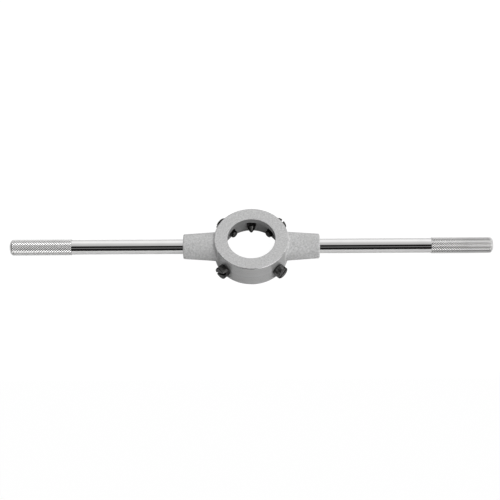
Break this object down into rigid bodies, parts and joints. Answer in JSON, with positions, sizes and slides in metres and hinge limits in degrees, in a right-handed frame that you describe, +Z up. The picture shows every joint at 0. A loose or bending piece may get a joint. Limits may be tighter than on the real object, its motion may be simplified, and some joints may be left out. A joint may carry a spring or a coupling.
{
  "type": "round die stock",
  "caption": "Round die stock: a cast ring that holds a round threading die, with a knurled bar handle on each side and slotted screws around it that clamp and spread the die.",
  "frame": {"origin": "on the axis of the die pocket, in the plane of its open end, which is the face that the holder stands on", "axes": "+X along the handle on the right, +Y towards the spreading screw, +Z up through the flange hole"},
  "size_m": [0.315, 0.053, 0.0178],
  "materials": {
    "cast_zinc": "matte, fine sandy casting skin",
    "chrome_steel": "bright chrome plate, knurled at the grips",
    "black_steel": "black oxide, lightly oiled"
  },
  "bodies": {
    "stock": {"die_holder": "cast_zinc", "handle_left": "chrome_steel", "handle_right": "chrome_steel"},
    "clamp_screw_rear_right": {"clamp_screw_rear_right": "black_steel"},
    "spreading_screw": {"spreading_screw": "black_steel"},
    "clamp_screw_rear_left": {"clamp_screw_rear_left": "black_steel"},
    "clamp_screw_front_left": {"clamp_screw_front_left": "black_steel"},
    "clamp_screw_front_right": {"clamp_screw_front_right": "black_steel"}
  },
  "joints": [
    {"name": "clamp_screw_rear_right_travel", "type": "slide", "parent": "stock", "child": "clamp_screw_rear_right", "axis": [0.7071, 0.7071, 0], "range_m": [-0.00045, 0.0046]},
    {"name": "spreading_screw_travel", "type": "slide", "parent": "stock", "child": "spreading_screw", "axis": [0, 1, 0], "range_m": [-0.00045, 0.0059]},
    {"name": "clamp_screw_rear_left_travel", "type": "slide", "parent": "stock", "child": "clamp_screw_rear_left", "axis": [-0.7071, 0.7071, 0], "range_m": [-0.00045, 0.0046]},
    {"name": "clamp_screw_front_left_travel", "type": "slide", "parent": "stock", "child": "clamp_screw_front_left", "axis": [-0.7071, -0.7071, 0], "range_m": [-0.00045, 0.0046]},
    {"name": "clamp_screw_front_right_travel", "type": "slide", "parent": "stock", "child": "clamp_screw_front_right", "axis": [0.7071, -0.7071, 0], "range_m": [-0.00045, 0.0046]}
  ]
}
